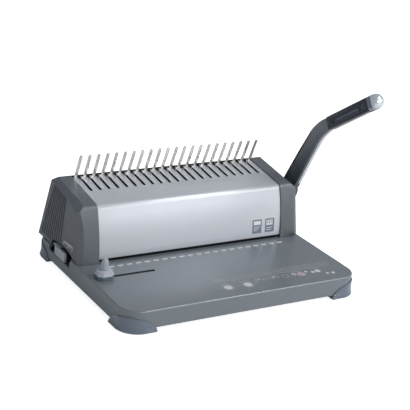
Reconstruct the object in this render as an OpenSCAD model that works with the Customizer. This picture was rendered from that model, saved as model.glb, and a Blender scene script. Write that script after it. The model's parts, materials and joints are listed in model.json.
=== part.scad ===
// Comb binding machine. Pulling the lever forward punches the sheets; pushing it back
// opens the plastic comb. +X is to the right, +Y to the back, +Z up, and Z = 0 is the table.
// Before place() shifts them, the pieces take X = 0 as the middle of the comb and Y = 0 as
// the row of printed hole marks on the tray. Heights called h are above the tray's top.

/* [Comb] */
// Distance from one ring of the comb to the next
comb_pitch = 14.2875; // [8:0.0005:15]
// Number of rings, and of holes, slots and hooks
ring_count = 21; // [5:2:21]

/* [Base] */
// Width of the tray
base_w = 380; // [376:1:400]
// Tray in front of the printed marks
base_front = 141; // [120:1:170]
// Tray behind the printed marks
base_back = 150; // [150:1:170]
// Radius of the tray's corners
base_r = 28; // [20:1:34]
// Height of the skirt
skirt_h = 26; // [24:1:34]
// Height of the skirt's lower edge above the table
foot_h = 7; // [6:0.5:12]
// Wall of the tray
base_wall = 3; // [2.5:0.1:3.5]
// Radius of the tray's upper edge
edge_r = 2; // [1.5:0.5:4]
// How far the feet stand out from the skirt
foot_out = 3; // [2:0.5:4]
// Height of a foot at the corner
foot_rise = 23; // [18:0.5:24]
// How far a foot reaches past the middle of the tray's corner
foot_reach = 18; // [14:1:24]

/* [Housing] */
// Width of the bent cover
cover_w = 308.5; // [306:0.5:309]
// Thickness of the bent cover
cover_t = 1.2; // [1:0.1:1.6]
// Gap between the tray and the cover, where the sheets go in
throat_h = 4.5; // [4.3:0.1:6]
// Distance from the marks to the cover's lower edge
cover_front = 16; // [12:1:18]
// Distance from the marks to the cover's bend
bend_y = 31.5; // [30:0.5:33]
// Height of the bend above the tray
bend_h = 79.3; // [78:0.1:82]
// Radius of the bend
bend_r = 9; // [6:0.5:12]
// Bulge of the cover's front
front_bulge = 2.5; // [1:0.1:3]
// Slope of the top
slope = 8; // [7:0.25:9]
// Distance from the marks to the cover's rear edge
cover_back = 113.5; // [113:0.5:115]
// Width of a slot in the top
slot_w = 4.2; // [3.6:0.1:4.6]
// Distance from the marks to the slots' front ends
slot_front = 74.2; // [72:0.2:76]
// Half width of the housing at its top
cap_top_x = 182.6; // [181:0.1:184]
// Half width of the housing at the tray
cap_foot_x = 187.5; // [186:0.5:188]
// Distance from the marks to the top of the rear wall
rear_top = 124; // [123:1:126]
// Distance from the marks to the foot of the rear wall
rear_foot = 148; // [146:0.5:148.5]
// Wall of the end caps
cap_wall = 2.5; // [2:0.1:3]
// How far the caps stand above the cover
cap_proud = 1.5; // [1:0.1:2]
// How far the caps lap down over the tray's rim
cap_lap = 4; // [3:0.5:5]

/* [Punch] */
// Distance from the marks to the row of punches
punch_y = 53; // [52:0.5:54]
// Length of a punched hole along the sheet's edge
hole_w = 8; // [6:0.1:9]
// Depth of a punched hole
hole_d = 3; // [2:0.1:4]
// Thickness of the lower die
lower_die_t = 5; // [4:0.5:6]
// Thickness of the upper die
upper_die_t = 10; // [8:0.5:11]
// Gap between the dies
die_gap = 3; // [2.8:0.1:3.6]
// Depth of the dies, front to back
die_d = 30; // [26:1:32]
// Thickness of the side frames
frame_t = 3; // [2.5:0.5:4]
// Half distance between the side frames
frame_x = 158; // [157:0.5:158.5]

/* [Lever] */
// Distance from the marks to the lever's axle
axle_y = 64.5; // [64:0.25:65]
// Height of the lever's axle above the tray
axle_h = 58; // [57:0.25:59]
// Radius of the drive shaft
shaft_r = 5; // [4:0.25:5.5]
// Radius of the lever's sleeve
sleeve_r = 8; // [7:0.25:8.5]
// Distance from the shaft to the rollers that press the punches
crank_r = 12; // [11.5:0.25:12.5]
// Stroke of the lever from rest to punched, in degrees
punch_angle = 50; // [46:1:50]
// Thickness of the lever's arm
arm_t = 10; // [8:0.5:11]
// Gap between the right cap's foot and the arm
arm_gap = 5; // [4:0.5:6]
// Thickness of the grip
grip_t = 16; // [14:0.5:18]

/* [Comb opener] */
// Pitch radius of the sector gear
gear_r = 24; // [24:1:24]
// Teeth of a whole gear of that radius
gear_teeth = 24; // [24:1:24]
// Height of a tine above the cover's top
tine_h = 42; // [30:1:50]
// Lean of the tines
tine_lean = 20; // [14:1:22]
// Width of a tine
tine_w = 4.8; // [3:0.1:5.5]
// Height of a hook above the cover's top
hook_h = 4; // [3:0.2:6]

/* [Sheet stops] */
// Distance from the marks to the edge guide's slot, towards the front
guide_y = 31; // [28:1:40]
// Place of the edge guide's middle, from the middle of the comb
guide_x = -169; // [-173:1:-166]
// Right end of the edge guide's slot
guide_slot_end = -92; // [-96:1:-80]
// Width of the edge guide's slot
guide_slot_w = 5.6; // [4:0.1:6.4]

/* [Chip drawer] */
// Half width of the drawer
drawer_x = 140; // [130:1:144]
// Height of the drawer
drawer_h = 13; // [10:0.5:13]
// Wall of the drawer
drawer_wall = 2; // [1.5:0.1:2.5]

/* [Hidden] */
$fn = 48;
slack = 0.3;       // clearance between pieces that only lie near each other
run = 0.05;        // radial clearance of a shaft in its bush
eps = 0.01;
big = 400;

tray_z = foot_h + skirt_h;
base_mid_y = (base_back - base_front) / 2;
arm_x = cap_foot_x + arm_gap;
grip_x = arm_x + arm_t / 2 - grip_t / 2;
wide_left = base_w / 2 + foot_out;
wide_right = arm_x + arm_t / 2 + grip_t / 2;
mid_x = (wide_left - wide_right) / 2;
axle_z = tray_z + axle_h;
cap_in_x = cover_w / 2 + slack;

// the cover's outline: a bulged front, a round bend and a sloping top
front_lean = atan((bend_y - cover_front) / (bend_h - throat_h));
front_in = [cos(front_lean), -sin(front_lean)];
front_up = [sin(front_lean), cos(front_lean)];
top_back = [cos(slope), sin(slope)];
top_in = [sin(slope), -cos(slope)];
cover_foot = [cover_front, throat_h];
bend_corner = [bend_y, bend_h];
bend_run = bend_r * tan((90 - front_lean - slope) / 2);
bend_foot = bend_corner - front_up * bend_run;
bend_mid = bend_foot + front_in * bend_r;

function top_h(y) = bend_h + (y - bend_y) * tan(slope);
function bulge(t) = 4 * front_bulge * t * (1 - t);
function front_line(inset, foot_h0) = [
  for (i = [0:8]) let (t = i / 8,
    p = [cover_front + (foot_h0 - throat_h) * tan(front_lean), foot_h0])
    p + (bend_foot - p) * t - front_in * (bulge(t) - inset)
];
function bend_line(inset) = [
  for (i = [1:8]) let (a = 180 - front_lean - i / 8 * (90 - front_lean - slope))
    bend_mid + (bend_r - inset) * [cos(a), sin(a)]
];
function top_point(y, inset) = [y, top_h(y) - inset / cos(slope)];

module place() { translate([mid_x, -base_mid_y, 0]) children(); }
// moves to the tray's top
module on_tray() { place() translate([0, 0, tray_z]) children(); }
// extrudes an outline drawn in Y and Z along X
module along_x(x0, len) { translate([x0, 0, 0]) rotate([90, 0, 90]) linear_extrude(len) children(); }
module rod_x(x0, len, r) { translate([x0, 0, 0]) rotate([0, 90, 0]) cylinder(h = len, r = r); }
module at_axle() { translate([0, axle_y, axle_h]) children(); }
module mirror_if(left) { if (left) mirror([1, 0, 0]) children(); else children(); }
// lays its children on the sloping top: Y runs back along it, Z out of it
module on_top(y) { translate([0, y, top_h(y)]) rotate([slope, 0, 0]) children(); }
module rounded(w, d, r) {
  square([w - 2 * r, d], center = true);
  square([w, d - 2 * r], center = true);
  for (sx = [-1, 1], sy = [-1, 1]) translate([sx * (w / 2 - r), sy * (d / 2 - r)]) circle(r);
}
module base_outline(inset = 0) {
  translate([0, base_mid_y])
    rounded(base_w - 2 * inset, base_front + base_back - 2 * inset, base_r - inset);
}
module block(x, y, z) {
  translate([x[0], y[0], z[0]]) cube([x[1] - x[0], y[1] - y[0], z[1] - z[0]]);
}
// two round ends joined by tangents, along +X of the outline
module link_outline(r1, r2, d) {
  a = acos((r1 - r2) / d);
  circle(r1);
  translate([d, 0]) circle(r2);
  polygon([r1 * [cos(a), sin(a)], r1 * [cos(a), -sin(a)],
    [d, 0] + r2 * [cos(a), -sin(a)], [d, 0] + r2 * [cos(a), sin(a)]]);
}

// ---- base ----
rim_seat = 11.45;
step_x = base_w / 2 - rim_seat;
step_y = cover_front + 18;
foot_centres = [for (sy = [-1, 1], sx = [-1, 1])
  [sx * (base_w / 2 - base_r), base_mid_y + sy * ((base_front + base_back) / 2 - base_r)]];
boss_r = 4.5;
screw_r = 1.6;
boss_gap = 22;
boss_places = [for (s = [-1, 1], y = [18 - base_front, -20, base_back - 45])
  [s * (drawer_x + boss_gap), y]];
plate_t = 2;
plate_z = foot_h + plate_t;
drawer_front_y = punch_y - die_d / 2 - 4;

// rim that is cut down where the caps and the rear cover lap over it
module rim_step(grow) {
  for (s = [0, 1]) mirror([s, 0, 0])
    block([step_x - grow, base_w], [step_y - grow, base_back + eps + 1],
      [tray_z - cap_lap - grow, tray_z + 1]);
  block([-base_w, base_w], [rear_foot - 8 - grow, base_back + 1],
    [tray_z - cap_lap - grow, tray_z + 1]);
}
module drawer_way() {
  block([-drawer_x - 1, drawer_x + 1], [base_back - base_wall - 5, base_back + 1],
    [plate_z - 1, plate_z + drawer_h + 0.8]);
}
module base_tray() place() color("#5d666f") {
  difference() {
    union() {
      translate([0, 0, foot_h]) linear_extrude(skirt_h - edge_r) base_outline();
      hull() for (a = [0:22.5:90])
        translate([0, 0, tray_z - edge_r + (edge_r - eps) * sin(a)])
          linear_extrude(eps) base_outline(edge_r * (1 - cos(a)));
    }
    difference() {
      translate([0, 0, foot_h - 1]) linear_extrude(skirt_h + 1 - base_wall) base_outline(base_wall);
      rim_step(base_wall);
    }
    rim_step(0);
    die_way();
    guide_way();
    drawer_way();
    lever_way();
  }
  for (p = boss_places) translate([p[0], p[1], plate_z + slack]) difference() {
    cylinder(h = skirt_h - plate_t - slack - base_wall + 1, r = boss_r);
    translate([0, 0, -eps]) cylinder(h = 12, r = screw_r + 0.1);
  }
}
module die_way() {
  block([-frame_x - frame_t - slack, frame_x + frame_t + slack],
    [punch_y - die_d / 2 - slack, punch_y + die_d / 2 + slack],
    [tray_z - base_wall - cap_lap - 1, tray_z + 1]);
}
module guide_way() {
  translate([0, -guide_y, tray_z - base_wall - 1]) {
    block([guide_x - 4, guide_slot_end], [-guide_slot_w / 2, guide_slot_w / 2], [0, base_wall + 2]);
    for (x = [guide_x - 4, guide_slot_end]) translate([x, 0, 0])
      cylinder(h = base_wall + 2, r = guide_slot_w / 2);
  }
}
// opening in the left side for the depth lever, with an arched top
lever_y = [35.5, 103.5];
lever_arch = [9, 6];
module lever_way() {
  half = (lever_y[1] - lever_y[0]) / 2;
  arch_r = (half * half + lever_arch[1] * lever_arch[1]) / (2 * lever_arch[1]);
  along_x(-base_w, base_w - step_x + 6) intersection() {
    translate([lever_y[0], tray_z - 12]) square([2 * half, 40]);
    translate([lever_y[0] + half, tray_z + lever_arch[0] - arch_r]) circle(arch_r, $fn = 180);
  }
}
module bottom_plate() place() color("#3c4248") difference() {
  union() {
    translate([0, 0, foot_h]) linear_extrude(plate_t) base_outline(base_wall + slack);
    for (s = [-1, 1]) translate([s * (drawer_x + 1.5 + slack), 0, 0])
      block([-1.5, 1.5], [drawer_front_y, base_back - base_wall - 6], [foot_h + 1, plate_z + drawer_h - 2]);
    block([-drawer_x, drawer_x], [drawer_front_y - 4, drawer_front_y - 2],
      [foot_h + 1, plate_z + drawer_h - 2]);
  }
  for (p = boss_places) translate([p[0], p[1], foot_h - 1]) {
    cylinder(h = 5, r = screw_r + slack);
    cylinder(h = 2, r = 3.4);
  }
  for (p = foot_centres) translate([p[0], p[1], foot_h - 1]) cylinder(h = 5, r = screw_r + slack);
}
module base_screws() place() color("#b9bdc2") {
  for (p = boss_places) translate([p[0], p[1], foot_h + 0.3]) {
    cylinder(h = 0.7, r = 3);
    cylinder(h = 12, r = screw_r);
  }
}
// one corner foot: a flared wall round the skirt's corner, falling away to both ends
foot_low = 1.5;
foot_neck = 1.5;
pad_r = 11;
// heights and stand-outs of the wall's layers
foot_wall = [[1.6, foot_out], [3.4, foot_neck + 0.9], [6, foot_neck + 0.45], [foot_rise, foot_neck]];
module foot_side() {
  reach = base_r + foot_out;
  polygon(concat([[-reach - 1, 0]], [for (i = [0:14]) let (t = sin(i * 90 / 14))
    [-reach + (reach + foot_reach) * t, foot_low + foot_rise * sqrt(1 - t * t)]],
    [[foot_reach, 0]], [[-reach - 1, 0]]));
}
module foot(n) place() color("#69737d") translate([foot_centres[n][0], foot_centres[n][1], 0])
  rotate([0, 0, n == 0 ? 0 : n == 1 ? 90 : n == 3 ? 180 : 270]) translate([base_r, base_r, 0]) difference() {
  intersection() {
    union() {
      for (layer = foot_wall) translate([0, 0, foot_low]) linear_extrude(layer[0]) difference() {
        corner_outline(-layer[1]);
        corner_outline(-slack);
      }
      translate([0, 0, foot_low]) linear_extrude(foot_h - foot_low) corner_outline(-foot_neck);
    }
    translate([-base_r, big, 0]) rotate([90, 0, 0]) linear_extrude(2 * big) foot_side();
    translate([0, -base_r, 0]) along_x(-big, 2 * big) foot_side();
  }
  translate([-base_r, -base_r, foot_low - 1]) cylinder(h = 2.5, r = pad_r + slack);
  translate([-base_r, -base_r, 0]) cylinder(h = big, r = screw_r + slack);
}
// the tray's corner, turned to the front left, with the middle of its arc at -base_r
module corner_outline(inset) {
  translate([-base_r, -base_r]) circle(base_r - inset);
  translate([-base_r, -2 * base_r + inset]) square([big / 4, big / 4]);
  translate([-2 * base_r + inset, -base_r]) square([big / 4, big / 4]);
}
module foot_front_left() { foot(0); }
module foot_front_right() { foot(1); }
module foot_rear_left() { foot(2); }
module foot_rear_right() { foot(3); }
module foot_pads() place() color("#1d1f21") {
  for (p = foot_centres) translate([p[0], p[1], 0]) {
    cylinder(h = foot_low + 1.2, r = pad_r);
    cylinder(h = 0.8, r1 = pad_r - 1, r2 = pad_r);
  }
}

// ---- housing ----
module cover_region(inset, foot_h0, back_y) {
  polygon(concat(front_line(inset, foot_h0), bend_line(inset),
    [top_point(back_y, inset), [back_y, foot_h0]]));
}
module slots() {
  for (i = [0:ring_count - 1]) translate([(i - (ring_count - 1) / 2) * comb_pitch, slot_front, 0]) {
    block([-slot_w / 2, slot_w / 2], [slot_w / 2, big], [60, big]);
    translate([0, slot_w / 2, 60]) cylinder(h = big, r = slot_w / 2);
  }
}
module front_cover() on_tray() color("#c3c8d1") difference() {
  along_x(-cover_w / 2, cover_w) union() {
    difference() {
      cover_region(0, throat_h, cover_back);
      cover_region(cover_t, throat_h - 1, cover_back + 1);
    }
    // folded lower edge
    translate(cover_foot + [cover_t / 2, 0]) square([8, cover_t]);
  }
  slots();
}
frame_y = [cover_front + 12, 116];
cap_posts = [[frame_y[0] + 8, 14], [frame_y[1] - 8, 14]];
// outline of an end cap
cap_foot_h = -cap_lap + slack;
function rear_at(h, inset) = rear_top + (rear_foot - rear_top) * (top_h(rear_top) - h)
  / top_h(rear_top) - inset / cos(atan((rear_foot - rear_top) / top_h(rear_top)));
module cap_region(inset, foot_h0) {
  polygon(concat(front_line(inset - cap_proud, foot_h0), bend_line(inset - cap_proud),
    [top_point(rear_top - inset - 4, inset - cap_proud),
     [rear_at(top_h(rear_top) - 4, inset), top_h(rear_top) - 4],
     [rear_at(foot_h0, inset), foot_h0]]));
}
// everything inside the leaning side wall of the right cap
module inside_lean(inset) {
  lean = atan((cap_foot_x - cap_top_x) / top_h(rear_top));
  translate([cap_foot_x - inset, 0, 0]) rotate([0, -lean, 0])
    translate([-big, -big / 2, -big / 2]) cube(big);
}
module cap_body() {
  difference() {
    intersection() {
      union() {
        along_x(cap_in_x, 45) cap_region(0, slack);
        along_x(step_x + slack, 45) intersection() {
          cap_region(0, cap_foot_h);
          translate([step_y + slack, -big / 2]) square(big);
        }
      }
      inside_lean(0);
      front_chamfer(0);
      top_chamfer(0);
    }
    intersection() {
      along_x(cap_in_x - 1, 50) cap_region(cap_wall, -cap_lap - 1);
      inside_lean(cap_wall);
      front_chamfer(cap_wall);
      top_chamfer(cap_wall);
    }
  }
  // posts that screw to the side frame
  for (p = cap_posts) translate([0, p[0], p[1]])
    rod_x(frame_x + frame_t, cap_foot_x - frame_x - frame_t - cap_wall, 4);
}
// sizes of the broad chamfers along a cap's front and top edges, sideways and inwards
front_cut = [8, 5];
top_cut = [8, 6];
module front_chamfer(inset) {
  translate([cap_foot_x, cover_front - cap_proud - front_bulge, 0])
    rotate([-front_lean, 0, 0]) rotate([0, 0, -atan(front_cut[0] / front_cut[1])])
      translate([-2 * big - inset - front_cut[0] * front_cut[1] / norm(front_cut), -big, -big])
        cube(2 * big);
}
module top_chamfer(inset) {
  translate([cap_top_x, 0, top_h(0) + cap_proud]) rotate([slope, 0, 0])
    rotate([0, -atan(top_cut[0] / top_cut[1]), 0])
      translate([-2 * big - inset - top_cut[0] * top_cut[1] / norm(top_cut), -big, -big])
        cube(2 * big);
}
// sunk panel in a cap's side, with upright ribs in its rear half
panel_depth = 1;
panel_in = 7;
panel_foot = 3;
rib_n = 9;
rib_w = 1.5;
rib_front = [75, 77];
module side_panel() {
  top = top_point(rear_top - panel_in - 2, panel_in - cap_proud);
  foot_y = rear_at(panel_foot, panel_in);
  difference() {
    along_x(cap_top_x - 20, big) difference() {
      polygon(concat(front_line(panel_in - cap_proud, panel_foot), bend_line(panel_in - cap_proud),
        [top, [foot_y, panel_foot]]));
      for (i = [0:rib_n - 1]) let (t = i / rib_n,
        high = rib_front[0] + t * (top[0] - rib_front[0]), low = rib_front[1] + t * (foot_y - rib_front[1]))
        polygon([[low, 0], [low + rib_w, 0], [high + rib_w, big / 4], [high, big / 4]]);
    }
    inside_lean(panel_depth);
  }
}
module cap_right() on_tray() color("#4a5058") difference() {
  cap_body();
  side_panel();
  at_axle() rod_x(cap_in_x + 5, 60, sleeve_r + 1);
}
module cap_left() on_tray() color("#4a5058") difference() {
  mirror([1, 0, 0]) difference() {
    cap_body();
    side_panel();
  }
  translate([0, 0, -tray_z]) lever_way();
}
module rear_cover() on_tray() color("#3f454c")
  along_x(-cover_w / 2, cover_w) polygon([
    [rear_at(top_h(rear_top) - 4, 0), top_h(rear_top) - 4],
    [rear_at(cap_foot_h, 0), cap_foot_h], [rear_at(cap_foot_h, cap_wall), cap_foot_h],
    [rear_at(top_h(rear_top) - 4, cap_wall), top_h(rear_top) - 4]]);
// black channel behind the tines, with a rib between the rings
rest_front = cover_back + 2.4;
module comb_rest() on_tray() color("#17181a") {
  low = top_h(rest_front);
  high = top_h(rear_top);
  along_x(-cover_w / 2, cover_w) polygon([
    [rest_front, low - 9], [rest_front, low - 5.5], [rear_top - 3, low - 5.5],
    [rear_top - 3, high + 0.5], [rear_top - 0.5, high - 0.5], [rear_top, high - 4 + slack],
    [rear_top - 2.6, high - 4 + slack], [rear_top - 3, low - 9]]);
  // low ribs between the rings of the comb
  for (i = [0:ring_count]) let (x = (i - ring_count / 2) * comb_pitch)
    if (abs(x) < cover_w / 2 - rest_rib) along_x(x - rest_rib / 2, rest_rib) polygon([[rest_front, low - 6], [rest_front, low - 4],
      [rear_top - 2.9, low - 4], [rear_top - 2.9, low - 6]]);
}
rest_rib = 2.4;
// ---- fixed comb ----
tine_t = 1.6;
tine_foot = tine_w + 1.6;
tine_y = cover_back + 0.4;
module tine_bar() on_tray() color("#d5d8dc") {
  tine_count = ring_count + 1;
  along_x(-frame_x, 2 * frame_x) translate([tine_y, top_h(tine_y) - 16]) square([tine_t, 12]);
  for (i = [0:tine_count - 1]) translate([(i - ring_count / 2) * comb_pitch, tine_y, 0]) {
    block([-tine_foot / 2, tine_foot / 2], [0, tine_t], [top_h(tine_y) - 8, top_h(tine_y) + 1.2]);
    translate([0, 0, top_h(tine_y) - 0.5]) rotate([tine_lean, 0, 0]) {
      block([-tine_w / 2, tine_w / 2], [0, tine_t], [-0.3, tine_h - tine_w / 2]);
      translate([0, 0, tine_h - tine_w / 2]) rotate([-90, 0, 0]) cylinder(h = tine_t, r = tine_w / 2);
    }
  }
}

// ---- frames and dies ----
module side_frame(left) on_tray() color("#9aa0a6") mirror_if(left) difference() {
  union() {
    along_x(frame_x, frame_t) polygon([
      [frame_y[0], 0], [frame_y[1], 0], top_point(frame_y[1], cover_t + slack),
      top_point(bend_y + 10, cover_t + slack), [frame_y[0] + 8, 60]]);
    // tab that holds the dies
    along_x(frame_x, frame_t) translate([punch_y - die_d / 2, -lower_die_t]) square([die_d, 10]);
    for (y = flange_y) block([frame_x, frame_x + 12], y, [0, frame_t]);
  }
  at_axle() rod_x(frame_x - 1, 6, left ? shaft_r + 3 : sleeve_r + 3);
  // edge that the moving comb's ears slide on
  on_top(hook_y) block([frame_x - 1, frame_x + frame_t + 1],
    [-hook_travel - hook_plate_d - 1, 1], [-hook_drop - hook_t - slack, big]);
  if (left) block([frame_x - 1, frame_x + frame_t + 1],
    [shift_y - lever_half - depth_travel - 1, shift_y + lever_half + depth_travel + 1], [-1, shift_h + 3]);
}
flange_y = [[frame_y[0], frame_y[0] + 8], [frame_y[1] - 12, frame_y[1]]];
module side_frame_left() { side_frame(true); }
module side_frame_right() { side_frame(false); }
module hole_row(w, d) {
  for (i = [0:ring_count - 1]) translate([(i - (ring_count - 1) / 2) * comb_pitch, punch_y, 0])
    translate([-w / 2, -d / 2, -big / 2]) cube([w, d, big]);
}
module lower_die() on_tray() color("#8f959c") difference() {
  block([-frame_x, frame_x], [punch_y - die_d / 2, punch_y + die_d / 2], [-lower_die_t, 0]);
  hole_row(hole_w + 0.2, hole_d + 0.2);
}
module upper_die() on_tray() color("#8f959c") difference() {
  union() {
    along_x(-frame_x, 2 * frame_x) polygon([
      [punch_y - die_d / 2, die_gap + 4], [punch_y - die_d / 2 + 3, die_gap],
      [punch_y + die_d / 2, die_gap], [punch_y + die_d / 2, die_gap + upper_die_t],
      [punch_y - die_d / 2, die_gap + upper_die_t]]);
    for (s = [-1, 1]) translate([s * spring_x, spring_y, die_gap + upper_die_t])
      cylinder(h = 8, r = 2.5);
    // spacers between the dies
    for (s = [-1, 1]) translate([s * (frame_x - 3), punch_y, 0])
      block([-3, 3], [-die_d / 2 + 3, die_d / 2], [0, die_gap + 1]);
  }
  hole_row(hole_w + 0.2, hole_d + 0.2);
}
rod_place = [100, 40];
module tie_rod() on_tray() color("#c7cacd") {
  translate([0, rod_place[0], rod_place[1]]) rod_x(-frame_x, 2 * frame_x, 4);
}
module bush(x0, len, r_in, r_out) {
  difference() {
    union() {
      rod_x(x0, len, r_out);
      rod_x(x0 - 2, 2, r_out + 2);
    }
    rod_x(x0 - 3, len + 4, r_in);
  }
}
module bush_left() on_tray() color("#b08d4a") mirror([1, 0, 0])
  at_axle() bush(frame_x, frame_t + 2, shaft_r + run, shaft_r + 3 - eps);
module bush_right() on_tray() color("#b08d4a")
  at_axle() bush(frame_x, frame_t, sleeve_r + run, sleeve_r + 3 - eps);
module cover_screws() on_tray() color("#b9bdc2") {
  for (s = [0, 1], y = flange_y) mirror([s, 0, 0])
    translate([frame_x + 8, (y[0] + y[1]) / 2, frame_t]) cylinder(h = 2, r = 3);
}

// ---- drive ----
rest_angle = punch_angle / 2;
roller_r = 6;
arm_place = 118;
module drive_shaft() on_tray() color("#c7cacd") at_axle()
  rod_x(-frame_x - frame_t - 6, frame_x + frame_t + 6 + arm_x + arm_t + 0.7, shaft_r);
// two cheeks with a roller between them
module press_arm(x) on_tray() color("#7d838a") at_axle() difference() {
  for (s = [-10, 6]) translate([x + s, 0, 0]) rotate([180 - rest_angle, 0, 0]) rotate([90, 0, 90])
    linear_extrude(4) link_outline(7, 4.5, crank_r);
  rod_x(x - 20, 40, shaft_r);
  crank_pin() rod_x(x - 20, 40, 2.5);
}
module crank_pin() { translate([0, -crank_r * cos(rest_angle), crank_r * sin(rest_angle)]) children(); }
module press_arm_left() { press_arm(-arm_place); }
module press_arm_right() { press_arm(arm_place); }
module arm_rollers() on_tray() color("#c7cacd") at_axle() crank_pin() {
  for (x = [-arm_place, arm_place]) {
    rod_x(x - 5.8, 11.6, roller_r);
    rod_x(x - 10, 20, 2.5);
  }
}
// the collar's dog stands in a gap of the sleeve's end, so the lever turns it one way only
dog_half = 25;
jaw_len = 6;
jaw_x = frame_x - 14;
open_angle = 60;
module sector(x0, len, r1, r2, a0, a1) {
  translate([x0, 0, 0]) rotate([90, 0, 90]) linear_extrude(len) intersection() {
    difference() {
      circle(r2);
      circle(r1);
    }
    polygon(concat([[0, 0]], [for (i = [0:6]) let (a = a0 + (a1 - a0) * i / 6) 3 * r2 * [cos(a), sin(a)]]));
  }
}
module dog_collar() on_tray() color("#7d838a") at_axle() {
  difference() {
    union() {
      rod_x(jaw_x - 8, 8 - slack, sleeve_r + 3);
      sector(jaw_x - 1, jaw_len, sleeve_r - 1, sleeve_r + 3, -dog_half, dog_half);
    }
    rod_x(jaw_x - 9, 9, shaft_r);
  }
}
module lever_sleeve() on_tray() color("#aeb3b8") at_axle() {
  difference() {
    union() {
      rod_x(jaw_x + slack, frame_x - jaw_x - 3 - slack, sleeve_r - 1.3);
      rod_x(jaw_x + jaw_len, frame_x - jaw_x - jaw_len - 2 - slack, sleeve_r + 3);
      rod_x(frame_x - 3, arm_x + arm_t - frame_x + 3, sleeve_r);
      // jaw that drives the shaft's dog when the lever comes forward
      sector(jaw_x + slack, jaw_len, sleeve_r - 1.6, sleeve_r + 3,
        dog_half + open_angle + 2, 360 - dog_half - 1.5);
      // key that drives the gear's jaw when the lever goes back
      sector(gear_x + gear_w + slack, key_len, sleeve_r - 1, key_r, key_a + 1.5, key_a + 25);
    }
    rod_x(jaw_x - 1, 80, shaft_r + run);
  }
}
key_len = 5;
key_r = sleeve_r + 5;
key_a = 20;
module pressure_bar() on_tray() color("#9aa0a6") {
  bar_top = axle_h + crank_r * sin(rest_angle) - roller_r - slack;
  block([-bar_x, bar_x], [punch_y - 6, punch_y + 1.4], [bar_top - 5, bar_top]);
  block([-bar_x, bar_x], [punch_y - 2.5, punch_y + 1.4], [bar_low + bar_foot - 1, bar_top - 4]);
  block([-bar_foot_x, bar_foot_x], [punch_y - 2.5, punch_y + 2.5], [bar_low, bar_low + bar_foot]);
  for (s = [-1, 1]) translate([s * spring_x, spring_y, bar_low + 2])
    cylinder(h = bar_top - bar_low - 2, r = 5.5);
}
bar_x = 131;
bar_foot_x = 148;
bar_foot = 14;
spring_x = 125;
spring_y = punch_y - 9;
bar_low = 36;
module punches() on_tray() color("#d5d8dc") {
  for (i = [0:ring_count - 1]) translate([(i - (ring_count - 1) / 2) * comb_pitch, punch_y, 0])
    block([-hole_w / 2, hole_w / 2], [-hole_d / 2, hole_d / 2], [die_gap + 1, bar_low]);
}
spring_wire = 0.7;
module return_springs() on_tray() color("#c7cacd") {
  z0 = die_gap + upper_die_t;
  z1 = bar_low + 2;
  turns = 5;
  steps = 60;
  for (s = [-1, 1]) translate([s * spring_x, spring_y, z0 + spring_wire])
    coil(4.4, spring_wire, z1 - z0 - 2 * spring_wire, turns, steps);
}
module coil(r, wire, h, turns, steps) {
  sides = 6;
  ring = function (i) let (a = 360 * turns * i / steps) [for (k = [0:sides - 1])
    let (b = 360 * k / sides, q = r + wire * cos(b))
    [q * cos(a), q * sin(a), h * i / steps + wire * sin(b)]];
  points = [for (i = [0:steps]) each ring(i)];
  faces = concat(
    [[for (k = [sides - 1:-1:0]) k]],
    [for (i = [0:steps - 1], k = [0:sides - 1]) let (n = (k + 1) % sides)
      [i * sides + k, i * sides + n, (i + 1) * sides + n, (i + 1) * sides + k]],
    [[for (k = [0:sides - 1]) steps * sides + k]]);
  polyhedron(points, faces);
}

// ---- lever ----
gear_x = frame_x + frame_t + 5;
gear_w = 6;
gear_module = 2 * gear_r / gear_teeth;
rack_pitch = PI * gear_module;
rack_down = slope - 90;        // direction from the axle to the rack's pitch line
open_teeth = ceil(open_angle * gear_teeth / 360);
module sector_gear() on_tray() color("#8f959c") at_axle() difference() {
  union() {
    rod_x(frame_x + frame_t + slack, gear_x - frame_x - frame_t, gear_hub_r);
    translate([gear_x, 0, 0]) rotate([90, 0, 90]) linear_extrude(gear_w) gear_outline();
    sector(gear_x + gear_w - 1, key_len + 1, sleeve_r + 0.5, key_r, -key_a, key_a);
  }
  rod_x(frame_x, 30, sleeve_r + run);
}
gear_hub_r = 10;
module gear_outline() {
  intersection() {
    union() {
      circle(gear_r - 1.25 * gear_module);
      for (i = [-2:open_teeth + 2]) rotate(rack_down + i * 360 / gear_teeth) gear_tooth();
    }
    polygon(concat([[0, 0]], [for (i = [0:8])
      let (a = rack_down - 36 + i * (open_angle + 72) / 8) 2 * gear_r * [cos(a), sin(a)]]));
  }
}
tooth_play = 0.2;
// one tooth pointing along +X, with play on both flanks
module gear_tooth() {
  m = gear_module;
  half = [for (p = [[-1.35, 0.88], [-0.7, 0.91], [0, PI / 4], [0.5, 0.56], [0.9, 0.3]])
    [gear_r + p[0] * m, p[1] * m - tooth_play]];
  polygon(concat(half, [for (i = [len(half) - 1:-1:0]) [half[i][0], -half[i][1]]]));
}
// the lever's outline in Y and Z from the axle: front edge up, rear edge down
arm_outline = [
  [-14, 0], [-22.4, 16.1], [-45, 65], [-59.9, 94.8], [-64.5, 102.6], [-70.6, 110.5], [-83.4, 123.5],
  [-72.2, 138], [-65, 133.7], [-58, 128], [-50.4, 120.6], [-45.3, 114.8], [-41.8, 110.2],
  [-16.9, 66.6], [6.5, 23.2], [16.5, 4]];
arm_groove = [[-42.5, 106], [-40.3, 105.6], [-6, 44], [-8.2, 42.8]];
hub_r = 17;
module lever_arm() on_tray() color("#59626c") at_axle() difference() {
  union() {
    along_x(arm_x, arm_t) union() {
      polygon(arm_outline);
      circle(hub_r);
    }
    // tang inside the grip
    at_grip() block([arm_x + 2, arm_x + arm_t - 2], [-8, grip_tang], [-6, 6]);
  }
  rod_x(arm_x - 1, arm_t + 2, sleeve_r + eps);
  // groove along the rear edge
  along_x(arm_x - 1, 2.2) polygon(arm_groove);
}
grip_tang = 70;
grip_root = [-80.5, 132.6];
grip_angle = 33.8;
grip_len = 99;
grip_h = 20;
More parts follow.
